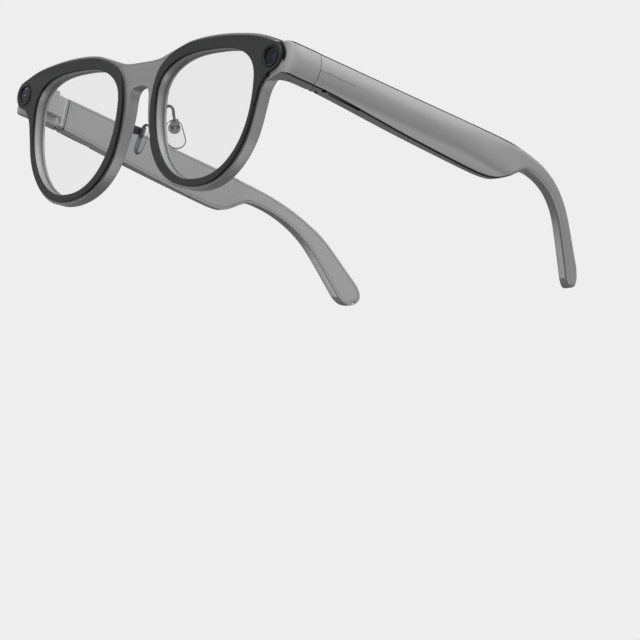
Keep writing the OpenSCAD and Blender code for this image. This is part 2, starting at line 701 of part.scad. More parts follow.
// Capture button in the top edge of the wearer's right temple
button_at = [-0.4, 32.5];
module button_shape(grow) {
    hull() for (s = [1, -1])
        translate([button_at[0], button_at[1] + s * 2.6]) circle(r = 1.1 + grow, $fn = 48);
}
module button_well() {
    translate([0, 0, top_z - 1.2]) linear_extrude(3) button_shape(0.08);
    translate([0, 0, top_z - 2.6]) linear_extrude(1.6) button_shape(0.5);
}
module right_capture_button() {
    color("dimgray") temple_placed(-1) union() {
        translate([0, 0, top_z - 1.1]) linear_extrude(1.45) button_shape(0);
        translate([0, 0, top_z - 1.75]) linear_extrude(0.65) button_shape(0.35);
    }
}
module right_button_switch() {
    color("gainsboro") temple_placed(-1)
        translate([button_at[0] - 1.2, button_at[1] - 1.8, top_z - 2.6]) cube([2.4, 3.6, 0.4]);
}

// ---- Drawing ----
front_frame();
left_front_plate();
right_front_plate();
left_lens();
right_lens();
camera_bezel();
camera_cover_glass();
camera_lens_barrel();
camera_sensor_board();
indicator_bezel();
indicator_window();
indicator_led_board();
front_flex_cable();
left_hinge_cover();
right_hinge_cover();
left_front_hinge_leaf();
right_front_hinge_leaf();
left_hinge_pin();
right_hinge_pin();
front_hinge_screws();
left_nose_pad_arm();
right_nose_pad_arm();
nose_pad_screws();
left_nose_pad();
right_nose_pad();
left_nose_pad_insert();
right_nose_pad_insert();
left_temple_shell();
right_temple_shell();
left_temple_cover();
right_temple_cover();
left_tip_core();
right_tip_core();
left_temple_hinge_leaf();
right_temple_hinge_leaf();
left_temple_screws();
right_temple_screws();
left_battery();
right_battery();
left_circuit_board();
right_circuit_board();
left_speaker();
right_speaker();
left_speaker_mesh();
right_speaker_mesh();
left_microphone();
right_microphone();
left_touch_sensor();
left_charging_contacts();
right_button_switch();
right_capture_button();
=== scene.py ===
"""Smart glasses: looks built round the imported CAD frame.

Metres in Blender, millimetres in the outlines below.
"""
import math
import bmesh
import bpy
from mathutils import Matrix, Vector
from mathutils.geometry import tessellate_polygon


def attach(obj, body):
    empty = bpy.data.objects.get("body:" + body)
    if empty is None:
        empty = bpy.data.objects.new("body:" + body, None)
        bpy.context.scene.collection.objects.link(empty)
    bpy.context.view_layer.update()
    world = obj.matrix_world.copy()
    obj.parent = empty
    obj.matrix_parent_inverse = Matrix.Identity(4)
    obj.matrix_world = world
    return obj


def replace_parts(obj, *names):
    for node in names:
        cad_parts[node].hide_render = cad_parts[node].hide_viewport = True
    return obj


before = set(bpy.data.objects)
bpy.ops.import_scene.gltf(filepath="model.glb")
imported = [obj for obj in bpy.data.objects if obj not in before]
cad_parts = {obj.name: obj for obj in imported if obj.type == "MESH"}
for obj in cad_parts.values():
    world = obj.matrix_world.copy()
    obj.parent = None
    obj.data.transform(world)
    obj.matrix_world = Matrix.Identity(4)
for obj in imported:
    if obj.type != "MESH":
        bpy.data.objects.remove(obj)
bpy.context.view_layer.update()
MM = 0.001

# ---- The CAD's own dimensions, in millimetres, in the wearer's frame ----
FRONT_TILT = math.radians(7.9)
WRAP_R = 1250
PLATE_T = 1.1
FRAME_T = 4.6
LEDGE = 0.9
GROOVE_D = 0.7
GROOVE_FROM, GROOVE_TO = 2.9, 4.7
SPLAY = math.radians(2.5)
TEMPLE_X = 69.1
FACE_R = 12
TOP_Z = 5.5
BEND_R, BEND_Y, BEND_TURN = 97, 101.5, math.radians(25)
HOOK_T = 4.4
INNER_X, BULGE_X, BULGE_Z = -3.2, 3.95, 0.2
COVER_T = 1.0
PIVOT = (-2.2, 20.5)
RELIEF_R = 2.0
TIP_C, TIP_R = (160, -24.1), 4.1
LOBE = (66, -0.5)
LOBE_R = 5
LOBE_BORE_R = 3.8
SEAM_X, SEAM_Y, SEAM_SLOPE = 4, 15.7, math.tan(math.radians(37.7))
SEAM_BULGE, SEAM_HALF_Z, SEAM_GAP, SEAM_BULGE_X = 1.5, 6, 0.15, -0.62
COVER_Y = 22.9
REST_PITCH, REST_Y, REST_Z = math.radians(5.19075), -80.4317, 42.5766
# Half length of a cut that goes right through
THROUGH = 9

# The lens opening: its widest line's middle, its reach each way, and how square its quarters are
LENS_C, LENS_HALF_W, LENS_UP, LENS_DOWN = (34.6, -9.5), 24.4, 14.3, 29.8
LENS_OUTER_POWER, LENS_NOSE_POWER, LENS_LOW_POWER = 2.8, 2.4, 2.2
# One half, (outwards, up): a front plate's edge, the bridge's top line and the nose arch
PLATE_KNOTS = [
    (69, 3.7), (60, 6.7), (50, 8.2), (40, 8.9), (30, 8.7), (22, 7.5), (15.5, 4.9), (11, 1.2),
    (8.6, -4), (7.7, -12), (8.7, -21), (11.2, -28.5), (16.5, -35.3), (24.5, -40), (34.5, -41.8),
    (43, -40.6), (50, -36.6), (55, -31), (58.3, -24.5), (60.3, -16.5), (61.9, -10.5), (65, -6.1)]
BRIDGE_TOP = [(0, 4.2), (8, 4.4), (13.7, 5.8), (20, 7.6), (26, 8.6), (34, 9.1)]
BRIDGE_ARCH = [
    (0, -4), (2.2, -4.2), (4.2, -5.2), (5.1, -8), (5.4, -12), (6.2, -17), (8, -22.5), (10.5, -27.5)]


# ---- Curves ----
def spline_point(a, b, c, d, t):
    return tuple(
        0.5 * (2 * q + (r - p) * t + (2 * p - 5 * q + 4 * r - s) * t * t + (3 * q - p - 3 * r + s) * t ** 3)
        for p, q, r, s in zip(a, b, c, d))


def smooth_run(p, n):
    """Open curve through the points p, with n steps between each two."""
    m = len(p)
    run = [spline_point(p[max(i - 1, 0)], p[i], p[i + 1], p[min(i + 2, m - 1)], k / n)
           for i in range(m - 1) for k in range(n)]
    return run + [tuple(p[-1])]


def lens_opening(n=360):
    """Oval whose quarters differ in squareness, anticlockwise from the outer side."""
    out = []
    for k in range(n):
        t = 2 * math.pi * k / n
        c, s = math.cos(t), math.sin(t)
        power = LENS_LOW_POWER if s < 0 else LENS_NOSE_POWER if c < 0 else LENS_OUTER_POWER
        rise = LENS_DOWN if s < 0 else LENS_UP
        r = (abs(c / LENS_HALF_W) ** power + abs(s / rise) ** power) ** (-1 / power)
        out.append((LENS_C[0] + r * c, LENS_C[1] + r * s))
    return out


def arc(c, r, start, end, n):
    turn = [math.radians(start + (end - start) * k / n) for k in range(n + 1)]
    return [(c[0] + r * math.cos(t), c[1] + r * math.sin(t)) for t in turn]


def circle_loop(x, y, r, n=64):
    return [(x + r * math.cos(2 * math.pi * k / n), y + r * math.sin(2 * math.pi * k / n)) for k in range(n)]


def box_loop(x0, y0, x1, y1):
    return [(x0, y0), (x1, y0), (x1, y1), (x0, y1)]


def resampled(loop, step):
    """Closed loop with points at an even spacing."""
    pts = loop + [loop[0]]
    lengths = [math.dist(a, b) for a, b in zip(pts, pts[1:])]
    total = sum(lengths)
    count = int(total / step)
    out, i, before = [], 0, 0.0
    for k in range(count):
        s = total * k / count
        while s > before + lengths[i] and i < len(lengths) - 1:
            before += lengths[i]
            i += 1
        t = (s - before) / max(lengths[i], 1e-9)
        out.append((pts[i][0] + (pts[i + 1][0] - pts[i][0]) * t, pts[i][1] + (pts[i + 1][1] - pts[i][1]) * t))
    return out


def relaxed(loop, passes):
    """Closed loop with its corners eased."""
    for _ in range(passes):
        m = len(loop)
        loop = [tuple(0.5 * loop[i][j] + 0.25 * (loop[i - 1][j] + loop[(i + 1) % m][j]) for j in (0, 1))
                for i in range(m)]
    return loop


def grown(loop, d):
    """Anticlockwise loop moved outwards by d."""
    m = len(loop)
    out = []
    for i in range(m):
        tx, ty = loop[(i + 1) % m][0] - loop[i - 1][0], loop[(i + 1) % m][1] - loop[i - 1][1]
        n = math.hypot(tx, ty) or 1
        out.append((loop[i][0] + d * ty / n, loop[i][1] - d * tx / n))
    return out


def mirrored_loop(loop):
    return [(-u, v) for u, v in reversed(loop)]


# ---- Placing ----
def row(p):
    """Wearer's frame in millimetres to the row frame in metres."""
    x, y, z = p
    c, s = math.cos(REST_PITCH), math.sin(REST_PITCH)
    return Vector((x, y * c + z * s + REST_Y, -y * s + z * c + REST_Z)) * MM


def on_front(u, v, depth):
    """Point of the curved, tilted front: u outwards, v up, depth behind the plates' faces."""
    y = WRAP_R - math.sqrt((WRAP_R - depth) ** 2 - u * u)
    c, s = math.cos(FRONT_TILT), math.sin(FRONT_TILT)
    return row((u, y * c - v * s, y * s + v * c))


def on_temple(side):
    """Function from the temple's frame (x outwards, y back, z up) to the row frame."""
    c, s = math.cos(SPLAY), math.sin(SPLAY)
    return lambda x, y, z: row((side * (x * c + y * s + TEMPLE_X), -x * s + y * c, z))


def on_lobe(side):
    """Function from a lobe's frame (z out of the front, from the plate's face) to the row frame."""
    wrap = side * math.asin(LOBE[0] / WRAP_R)
    sag = WRAP_R * (1 - math.cos(wrap))
    ct, st = math.cos(FRONT_TILT), math.sin(FRONT_TILT)

    def put(a, b, c):
        x = side * LOBE[0] + a * math.cos(wrap) + c * math.sin(wrap)
        y = sag + a * math.sin(wrap) - c * math.cos(wrap)
        z = LOBE[1] + b
        return row((x, y * ct - z * st, y * st + z * ct))
    return put


# ---- Meshes ----
def new_object(name, mesh, body, materials, sharp=38, weighted=True):
    obj = bpy.data.objects.new(name, mesh)
    bpy.context.scene.collection.objects.link(obj)
    for m in materials:
        obj.data.materials.append(m)
    mesh.polygons.foreach_set("use_smooth", [True] * len(mesh.polygons))
    mesh.set_sharp_from_angle(angle=math.radians(sharp))
    if weighted:
        mod = obj.modifiers.new("even_faces", "WEIGHTED_NORMAL")
        mod.keep_sharp = True
        mod.weight = 80
    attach(obj, body)
    return obj


def mesh_from(name, verts, faces, marks=None):
    mesh = bpy.data.meshes.new(name)
    mesh.from_pydata([tuple(v) for v in verts], [], faces)
    if marks:
        mesh.polygons.foreach_set("material_index", marks)
    bm = bmesh.new()
    bm.from_mesh(mesh)
    bmesh.ops.remove_doubles(bm, verts=bm.verts, dist=2e-7)
    bmesh.ops.dissolve_degenerate(bm, edges=bm.edges, dist=1e-7)
    bmesh.ops.recalc_face_normals(bm, faces=bm.faces)
    bm.to_mesh(mesh)
    bm.free()
    return mesh


def slab(name, outer, outer_profile, holes, place, cups=()):
    """Plate between two depths. A profile lists (inset into the material, depth, mark) from front to back.
    holes: (loop, profile) right through. cups: (loop, profile) closed at the end of the profile."""
    verts, faces, marks = [], [], []
    ends = []
    fronts, backs = [], []
    families = [(outer, outer_profile, -1, False)] + [(h, p, 1, False) for h, p in holes]
    families += [(h, p, 1, True) for h, p in cups]
    for loop, profile, sign, cup in families:
        rings = []
        for inset, depth, mark in profile:
            flat = grown(loop, sign * inset)
            rings.append((len(verts), flat, depth, mark))
            verts += [place(u, v, depth) for u, v in flat]
        m = len(loop)
        for (a, _, _, _), (b, _, _, mark) in zip(rings, rings[1:]):
            for i in range(m):
                j = (i + 1) % m
                faces.append((a + i, a + j, b + j, b + i))
                marks.append(mark)
        fronts.append(rings[0])
        if cup:
            ends.append([rings[-1]])
        else:
            backs.append(rings[-1])
    for group, mark in [(fronts, 0), (backs, 0)] + [(e, 1) for e in ends]:
        index = [start + i for start, flat, _, _ in group for i in range(len(flat))]
        polygons = [[Vector((u, v, 0)) for u, v in flat] for _, flat, _, _ in group]
        for tri in tessellate_polygon(polygons):
            faces.append(tuple(index[i] for i in tri))
            marks.append(mark)
    return mesh_from(name, verts, faces, marks)


def loft(name, rings, marks_of=None, close=True):
    """Skin through rings of equal length, capped at both ends."""
    verts = [v for r in rings for v in r]
    m = len(rings[0])
    faces, marks = [], []
    for k in range(len(rings) - 1):
        for i in range(m):
            j = (i + 1) % m
            faces.append((k * m + i, k * m + j, (k + 1) * m + j, (k + 1) * m + i))
            marks.append(marks_of(k, i) if marks_of else 0)
    if close:
        for base, ring in ((0, rings[0]), ((len(rings) - 1) * m, rings[-1])):
            for tri in tessellate_polygon([ring]):
                faces.append(tuple(base + i for i in tri))
                marks.append(marks_of(-1, 0) if marks_of else 0)
    return mesh_from(name, verts, faces, marks)


def revolved(name, profile, place, n=128):
    """Closed ring or disc turned about an axis from (radius, level, mark) points; radius 0 is a pole."""
    verts, faces, marks, rings = [], [], [], []
    for r, level, _ in profile:
        if r == 0:
            rings.append([len(verts)] * n)
            verts.append(place(0, 0, level))
        else:
            rings.append(list(range(len(verts), len(verts) + n)))
            verts += [place(r * math.cos(2 * math.pi * k / n), r * math.sin(2 * math.pi * k / n), level)
                      for k in range(n)]
    pairs = list(zip(rings, rings[1:], profile))
    if profile[0][0] and profile[-1][0]:
        pairs.append((rings[-1], rings[0], profile[-1]))
    for a, b, (_, _, mark) in pairs:
        for i in range(n):
            j = (i + 1) % n
            faces.append(tuple(dict.fromkeys((a[i], a[j], b[j], b[i]))))
            marks.append(mark)
    return mesh_from(name, verts, faces, marks)


def scratch_object(mesh):
    obj = bpy.data.objects.new("scratch", mesh)
    bpy.context.scene.collection.objects.link(obj)
    return obj


def boolean(mesh, tool_mesh, operation="DIFFERENCE"):
    """Result of one exact boolean between two meshes, as a new mesh."""
    body, tool = scratch_object(mesh), scratch_object(tool_mesh)
    mod = body.modifiers.new("cut", "BOOLEAN")
    mod.operation, mod.solver, mod.object = operation, "EXACT", tool
    bpy.context.view_layer.update()
    done = bpy.data.meshes.new_from_object(body.evaluated_get(bpy.context.evaluated_depsgraph_get()))
    bpy.data.objects.remove(body)
    bpy.data.objects.remove(tool)
    return done


def prism(loop, low, high, place, mark=0):
    """Straight prism between two levels; place(a, b, level) gives each point."""
    m = len(loop)
    verts = [place(a, b, low) for a, b in loop] + [place(a, b, high) for a, b in loop]
    faces = [(i, (i + 1) % m, m + (i + 1) % m, m + i) for i in range(m)]
    faces += [tuple(range(m - 1, -1, -1)), tuple(range(m, 2 * m))]
    return mesh_from("prism", verts, faces, [mark] * len(faces))


def bevelled(name, node, material, body, width=0.12, segments=3, sharp=35):
    """Copy of a CAD node with rounded edges, shown instead of it."""
    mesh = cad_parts[node].data.copy()
    mesh.name = name
    mesh.materials.clear()
    bm = bmesh.new()
    bm.from_mesh(mesh)
    bmesh.ops.remove_doubles(bm, verts=bm.verts, dist=2e-6)
    bmesh.ops.dissolve_limit(bm, angle_limit=math.radians(1.5), verts=bm.verts, edges=bm.edges)
    edges = [e for e in bm.edges if len(e.link_faces) == 2 and e.calc_face_angle(0) > math.radians(sharp)]
    bmesh.ops.bevel(bm, geom=edges, offset=width * MM, segments=segments, profile=0.5, affect="EDGES",
                    clamp_overlap=True)
    bm.to_mesh(mesh)
    bm.free()
    obj = new_object(name, mesh, body, [material], sharp=50)
    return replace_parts(obj, node)


# ---- Materials ----
def shader(name):
    m = bpy.data.materials.new(name)
    m.use_nodes = True
    return m, m.node_tree.nodes, m.node_tree.links, m.node_tree.nodes["Principled BSDF"]


def noise(nodes, links, scale, detail=3.0, rough=0.5):
    where = nodes.new("ShaderNodeTexCoord")
    n = nodes.new("ShaderNodeTexNoise")
    n.inputs["Scale"].default_value = scale
    n.inputs["Detail"].default_value = detail
    n.inputs["Roughness"].default_value = rough
    links.new(where.outputs["Object"], n.inputs["Vector"])
    return n


def ramp(nodes, links, value, stops):
    r = nodes.new("ShaderNodeValToRGB")
    while len(r.color_ramp.elements) < len(stops):
        r.color_ramp.elements.new(0.5)
    for e, (pos, colour) in zip(r.color_ramp.elements, stops):
        e.position, e.color = pos, (*colour, 1) if len(colour) == 3 else colour
    links.new(value, r.inputs["Fac"])
    return r


def span(nodes, links, value, low, high):
    m = nodes.new("ShaderNodeMapRange")
    m.inputs["To Min"].default_value, m.inputs["To Max"].default_value = low, high
    links.new(value, m.inputs["Value"])
    return m


def bump(nodes, links, b, height, strength, distance):
    n = nodes.new("ShaderNodeBump")
    n.inputs["Strength"].default_value = strength
    n.inputs["Distance"].default_value = distance
    links.new(height, n.inputs["Height"])
    links.new(n.outputs["Normal"], b.inputs["Normal"])
    return n


def surface(name, light, dark, metallic, rough, flake=2600, grain=0.12, coat=0.0, coat_rough=0.1, spec=0.5,
            spread=0.04):
    """Painted, moulded or machined surface: fine two-tone grain, uneven roughness and a fine bump."""
    m, nodes, links, b = shader(name)
    fine = noise(nodes, links, flake, 2.0)
    broad = noise(nodes, links, 55, 3.0)
    mix = nodes.new("ShaderNodeMath")
    mix.operation = "MULTIPLY_ADD"
    mix.inputs[1].default_value, mix.inputs[2].default_value = 0.35, 0.32
    links.new(broad.outputs["Fac"], mix.inputs[0])
    blend = nodes.new("ShaderNodeMath")
    blend.operation = "MULTIPLY_ADD"
    blend.inputs[1].default_value = 0.3
    links.new(fine.outputs["Fac"], blend.inputs[0])
    links.new(mix.outputs[0], blend.inputs[2])
    tone = ramp(nodes, links, blend.outputs[0], [(0.35, dark), (0.85, light)])
    links.new(tone.outputs["Color"], b.inputs["Base Color"])
    links.new(span(nodes, links, broad.outputs["Fac"], rough - spread, rough + spread).outputs[0],
              b.inputs["Roughness"])
    b.inputs["Metallic"].default_value = metallic
    b.inputs["Specular IOR Level"].default_value = spec
    b.inputs["Coat Weight"].default_value = coat
    b.inputs["Coat Roughness"].default_value = coat_rough
    bump(nodes, links, b, fine.outputs["Fac"], grain, 0.00002)
    return m


silver = surface("silver_paint", (0.60, 0.60, 0.605), (0.52, 0.52, 0.525), 0.55, 0.36, coat=0.15,
                 coat_rough=0.3)
# Darker silver: the inner covers' own finish, and painted shade on the lens groove's faces
cover_silver_and_groove_shade = surface("cover_silver_and_groove_shade", (0.56, 0.56, 0.565), (0.49, 0.49, 0.495), 0.4, 0.46)
dark_plate = surface("dark_plate", (0.062, 0.063, 0.066), (0.05, 0.051, 0.054), 0.0, 0.5, flake=3500,
                     grain=0.2)
# Near-black painted shade: the dark plates' side walls, the band round each lobe and the lobe cups
painted_shade_edge = surface("painted_shade_edge", (0.012, 0.012, 0.013), (0.008, 0.008, 0.009), 0.0, 0.45)
# Black plastic of the speaker, switch and lens barrel; on the temples it paints the hole and well walls black
# as painted shade
black = surface("black_plastic", (0.02, 0.02, 0.021), (0.012, 0.012, 0.013), 0.0, 0.4, grain=0.15)
grey_plastic = surface("grey_plastic", (0.62, 0.62, 0.625), (0.54, 0.54, 0.545), 0.2, 0.4)
dark_grey = surface("dark_grey_plastic", (0.12, 0.12, 0.125), (0.09, 0.09, 0.095), 0.1, 0.42)
bezel_metal = surface("bezel_metal", (0.34, 0.34, 0.35), (0.27, 0.27, 0.28), 0.9, 0.3)
black_bezel = surface("black_bezel", (0.022, 0.022, 0.024), (0.014, 0.014, 0.016), 0.3, 0.3, grain=0.1)
# Near-black painted shade in the sunk lines under the long edges and in the temples' hinge relief
edge_shade_line = surface("edge_shade_line", (0.028, 0.028, 0.03), (0.02, 0.02, 0.022), 0.2, 0.5)
steel = surface("hinge_steel", (0.30, 0.30, 0.31), (0.22, 0.22, 0.23), 1.0, 0.3, flake=1500)
bright_steel = surface("bright_steel", (0.78, 0.78, 0.79), (0.66, 0.66, 0.67), 1.0, 0.2, flake=1500)
gold = surface("contact_gold", (0.85, 0.62, 0.25), (0.75, 0.53, 0.2), 1.0, 0.25)
foil = surface("battery_foil", (0.6, 0.6, 0.61), (0.5, 0.5, 0.51), 0.8, 0.4)
board = surface("circuit_board", (0.03, 0.16, 0.08), (0.02, 0.12, 0.06), 0.0, 0.4)
film = surface("flex_film", (0.6, 0.33, 0.07), (0.5, 0.27, 0.05), 0.0, 0.35)


def clear_material(name, colour, rough, ior, coat=0.0):
    m, nodes, links, b = shader(name)
    n = noise(nodes, links, 900, 2.0)
    tone = ramp(nodes, links, n.outputs["Fac"], [(0.3, colour), (0.7, tuple(c * 0.985 for c in colour))])
    links.new(tone.outputs["Color"], b.inputs["Base Color"])
    b.inputs["Roughness"].default_value = rough
    b.inputs["IOR"].default_value = ior
    b.inputs["Coat Weight"].default_value = coat
    b.inputs["Coat Roughness"].default_value = 0.03
    return m, nodes, links, b


def thin_clear(name, colour, rough, low, high):
    """Thin clear sheet: nearly open face on, denser at a grazing angle."""
    m, nodes, links, b = clear_material(name, colour, rough, 1.5, 1.0)
    edge = nodes.new("ShaderNodeLayerWeight")
    edge.inputs["Blend"].default_value = 0.25
    links.new(span(nodes, links, edge.outputs["Fresnel"], low, high).outputs[0], b.inputs["Alpha"])
    return m


lens_glass = thin_clear("lens_clear", (0.94, 0.95, 0.96), 0.03, 0.0, 0.1)
camera_glass = thin_clear("camera_glass", (0.05, 0.055, 0.07), 0.02, 0.12, 0.9)
silicone = thin_clear("clear_silicone", (0.36, 0.37, 0.39), 0.08, 0.03, 1.0)
clear_plastic = thin_clear("clear_plastic", (0.1, 0.1, 0.11), 0.2, 0.55, 1.0)


def dark_glass_material():
    m, nodes, links, b = shader("dark_glass")
    n = noise(nodes, links, 240, 2.0)
    tone = ramp(nodes, links, n.outputs["Fac"],
                [(0.35, (0.006, 0.007, 0.012)), (0.55, (0.014, 0.014, 0.03)), (0.7, (0.02, 0.012, 0.032))])
    links.new(tone.outputs["Color"], b.inputs["Base Color"])
    b.inputs["Roughness"].default_value = 0.08
    b.inputs["Coat Weight"].default_value = 1.0
    b.inputs["Coat Roughness"].default_value = 0.02
    return m


dark_glass = dark_glass_material()
lens_coating = surface("lens_coating", (0.16, 0.09, 0.34), (0.05, 0.06, 0.16), 0.7, 0.12, coat=1.0,
                       coat_rough=0.03, grain=0.02)


def mesh_material():
    m, nodes, links, b = shader("black_mesh")
    where = nodes.new("ShaderNodeTexCoord")
    cells = nodes.new("ShaderNodeTexVoronoi")
    cells.inputs["Scale"].default_value = 5200
    links.new(where.outputs["Object"], cells.inputs["Vector"])
    tone = ramp(nodes, links, cells.outputs["Distance"],
                [(0.2, (0.002, 0.002, 0.002)), (0.6, (0.03, 0.03, 0.03))])
    links.new(tone.outputs["Color"], b.inputs["Base Color"])
    b.inputs["Roughness"].default_value = 0.6
    bump(nodes, links, b, cells.outputs["Distance"], 0.4, 0.00005)
    return m


speaker_mesh = mesh_material()

NODE_MATERIALS = {
    "battery": foil, "circuit_board": board, "sensor_board": board, "led_board": board, "flex_cable": film,
    "speaker_mesh": speaker_mesh, "speaker": black, "microphone": bezel_metal, "touch_sensor": film,
    "charging_contacts": gold, "tip_core": steel, "screws": steel, "button_switch": black,
    "lens_barrel": black, "cover_glass": camera_glass, "indicator_window": dark_glass, "bezel": bezel_metal,
    "pin": bright_steel, "leaf": bright_steel, "pad_arm": steel, "pad_insert": clear_plastic,
    "nose_pad": silicone, "hinge_cover": grey_plastic, "lens": lens_glass, "front_plate": dark_plate}
for node_name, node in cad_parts.items():
    found = next((m for key, m in NODE_MATERIALS.items() if key in node_name), silver)
    node.data.materials.clear()
    node.data.materials.append(found)

# ---- Front frame ----
lens_loop = resampled(lens_opening(), 0.55)
plate_loop = resampled(smooth_run(PLATE_KNOTS, 12) + arc(LOBE, LOBE_R, -72, 40, 30), 0.45)
plate_loop = relaxed(plate_loop, 4)


# Where the bridge's outline leaves the frame's, by the arch and on the brow, and where its own runs stop
ARCH_JOIN, BROW_JOIN = (8.6, -24.2), (23.5, 8.75)
ARCH_STOP_V, TOP_STOP_U = -22.2, 18.5


def rim_loop():
    """Outer edge of the frame: both plates' edges grown by the ledge, joined by the bridge."""
    edge = grown(plate_loop, LEDGE)
    m = len(edge)
    # From the nose side, round the bottom, the lobe and the top, to the bridge's top line
    start = min(range(m), key=lambda i: math.dist(edge[i], ARCH_JOIN))
    end = min(range(m), key=lambda i: math.dist(edge[i], BROW_JOIN))
    count = (end - start) % m
    around = [edge[(start + k) % m] for k in range(count + 1)]
    arch = [p for p in smooth_run(BRIDGE_ARCH, 8) if p[1] > ARCH_STOP_V]
    top = [p for p in reversed(smooth_run(BRIDGE_TOP, 8)) if p[0] < TOP_STOP_U]
    half = arch + around + top
    whole = half + [(-u, v) for u, v in reversed(half)][1:-1]
    return relaxed(resampled(whole, 0.5), 6)


BACK = PLATE_T + FRAME_T
# Profiles of (inset, depth, mark): the silver frame's outer edge, lens openings and lobe cups; marks 1 and 2
# are painted shade
outer_edge = [
    (0.12, PLATE_T, 0), (0.0, PLATE_T + 0.12, 0), (0.0, 2.4, 0), (0.0, BACK - 0.8, 0),
    (0.1, BACK - 0.42, 0), (0.3, BACK - 0.14, 0), (0.65, BACK, 0)]
# Mark 2 paints the lens groove's faces darker: painted shade in the groove.
lens_edge = [
    (0.1, PLATE_T, 0), (0.0, PLATE_T + 0.1, 0), (0.0, 2.85, 0), (GROOVE_D + 0.1, GROOVE_FROM, 2),
    (GROOVE_D + 0.1, GROOVE_TO, 2), (0.0, 4.75, 2), (0.0, BACK - 0.3, 0), (0.1, BACK - 0.1, 0),
    (0.35, BACK, 0)]
# The lobe cups' walls and ends are mark 1, painted near-black: painted shade in the recess.
lobe_cup = [(0.0, PLATE_T, 1), (0.0, 3.0, 1), (-0.8, 3.0, 1), (-0.8, 5.2, 1)]
lens_loops = {1: lens_loop, -1: mirrored_loop(lens_loop)}
lobe_loops = {s: circle_loop(s * LOBE[0], LOBE[1], LOBE_BORE_R, 72) for s in (1, -1)}
rim = slab("rim", rim_loop(), outer_edge, [(lens_loops[s], lens_edge) for s in (1, -1)], on_front,
           cups=[(lobe_loops[s], lobe_cup) for s in (1, -1)])
# The painted shade band: outside this u, above this v and down to this depth
LOBE_BAND_U, LOBE_BAND_V, LOBE_BAND_DEPTH = 61.5, -7.6, 2.4


def paint_lobe_shade(mesh):
    """Painted shade: the ledge and side band round the outer side of both lobes get the near-black material.
    """
    for f in mesh.polygons:
        p = f.center / MM
        y, z = p.y - REST_Y, p.z - REST_Z
        c, s = math.cos(REST_PITCH), math.sin(REST_PITCH)
        y, z = y * c - z * s, y * s + z * c
        c, s = math.cos(FRONT_TILT), math.sin(FRONT_TILT)
        depth, v = WRAP_R - math.hypot(WRAP_R - (y * c + z * s), p.x), -y * s + z * c
        if abs(p.x) > LOBE_BAND_U and v > LOBE_BAND_V and depth < LOBE_BAND_DEPTH + 0.02:
            f.material_index = 1


paint_lobe_shade(rim)


def barrel_x(z):
    """x of the temple's convex outer face at a height."""
    return BULGE_X - FACE_R + math.sqrt(max(FACE_R ** 2 - (z - BULGE_Z) ** 2, 1))


def rounded_section(low, high, radius, steps, side_steps):
    """Heights and outward pull-backs down one side of a section: (z, inset) from low to high."""
    out = []
    for k in range(steps + 1):
        t = math.pi / 2 * k / steps
        out.append((low + radius * (1 - math.cos(t)), radius * (1 - math.sin(t))))
    for k in range(1, side_steps):
        out.append((low + radius + (high - low - 2 * radius) * k / side_steps, 0.0))
    for k in range(steps + 1):
        t = math.pi / 2 * k / steps
        out.append((high - radius * (1 - math.sin(t)), radius * (1 - math.cos(t))))
    return out


# Width and depth of the sunk line under each long edge, whose faces are painted near-black as painted shade
LINE_W, LINE_D = 0.55, 0.14


def outer_section(low, high, radius, line):
    """Outer side of a section from low to high: (z, inset, mark), with a fine sunk line under each long edge
    that fades into a plain rounding as line goes from 1 to 0. Mark 1 paints the sunk line near-black: painted
    shade.
    A point's mark is that of the face above it."""
    first, last = low + LINE_W + 0.02, high - LINE_W - 0.02
    lined = [(low, radius * 0.8, 0), (low + 0.04, LINE_D + 0.06, 1), (low + LINE_W, LINE_D, 0)]
    lined += [(first + (last - first) * k / 17, 0.03 if k in (0, 17) else 0.0, 0) for k in range(18)]
    lined += [(high - LINE_W, LINE_D, 1), (high - 0.04, LINE_D + 0.06, 0), (high, radius * 0.8, 0)]
    full = rounded_section(low, high, radius, 5, len(lined) - 11)
    return [(a * (1 - line) + b * line, p * (1 - line) + q * line, mark if line > 0.02 else 0)
            for (a, p), (b, q, mark) in zip(full, lined)]


END_STATIONS = [  # outer point, inner point, bottom, top
    ((-9, 4.4), (-9, 6.8), -12, 1.8), ((-6.5, 3.6), (-8.3, 7.0), -9.6, 3),
    ((-4, 3.2), (-7.2, 7.4), -7.9, 4.4), ((-1.5, 3.1), (-6.4, 7.9), -6.9, 5.0),
    ((1, 3.2), (-5.6, 8.5), -6.3, 5.2), ((2.5, 3.9), (-4.7, 9.3), -6.05, 5.3),
    ((3.3, 5.1), (-3.9, 10.5), -6, 5.4), ((3.75, 6.9), (-3.35, 11.9), -6, 5.5),
    ((3.93, 9), (-3.2, 13.6), -6, 5.5), ((3.95, 12), (-3.2, 17), -6, 5.5),
    ((3.95, 15.5), (-3.2, 21), -6, 5.5), ((3.95, 20), (-3.2, 25), -6, 5.5)]


def end_piece(side):
    place = on_temple(side)
    flat = [(*o, *i, low, high) for o, i, low, high in END_STATIONS]
    rings, marks = [], []
    for ox, oy, ix, iy, low, high in smooth_run(flat, 6):
        bow = min(max((oy - 3.0) / 5, 0.25), 1)
        line = min(max((oy - 3.4) / 2, 0), 1) if ox > 2 else 0
        ring, tags = [], []
        for z, inset, mark in outer_section(low, high, 0.45, line):
            pull = (inset + bow * (BULGE_X - barrel_x(z))) / math.hypot(ox - ix, oy - iy)
            ring.append(place(ox + (ix - ox) * pull, oy + (iy - oy) * pull, z))
            tags.append(3 * mark)
        for z, inset in reversed(rounded_section(low, high, 0.35, 3, 3)):
            pull = inset / math.hypot(ox - ix, oy - iy)
            ring.append(place(ix + (ox - ix) * pull, iy + (oy - iy) * pull, z))
            tags.append(0)
        rings.append(ring)
        marks.append(tags)
    return loft("end_piece", rings, lambda k, i: marks[k][i] if k >= 0 else 0)


def seam_at(x):
    return SEAM_Y + (SEAM_X - x) * SEAM_SLOPE


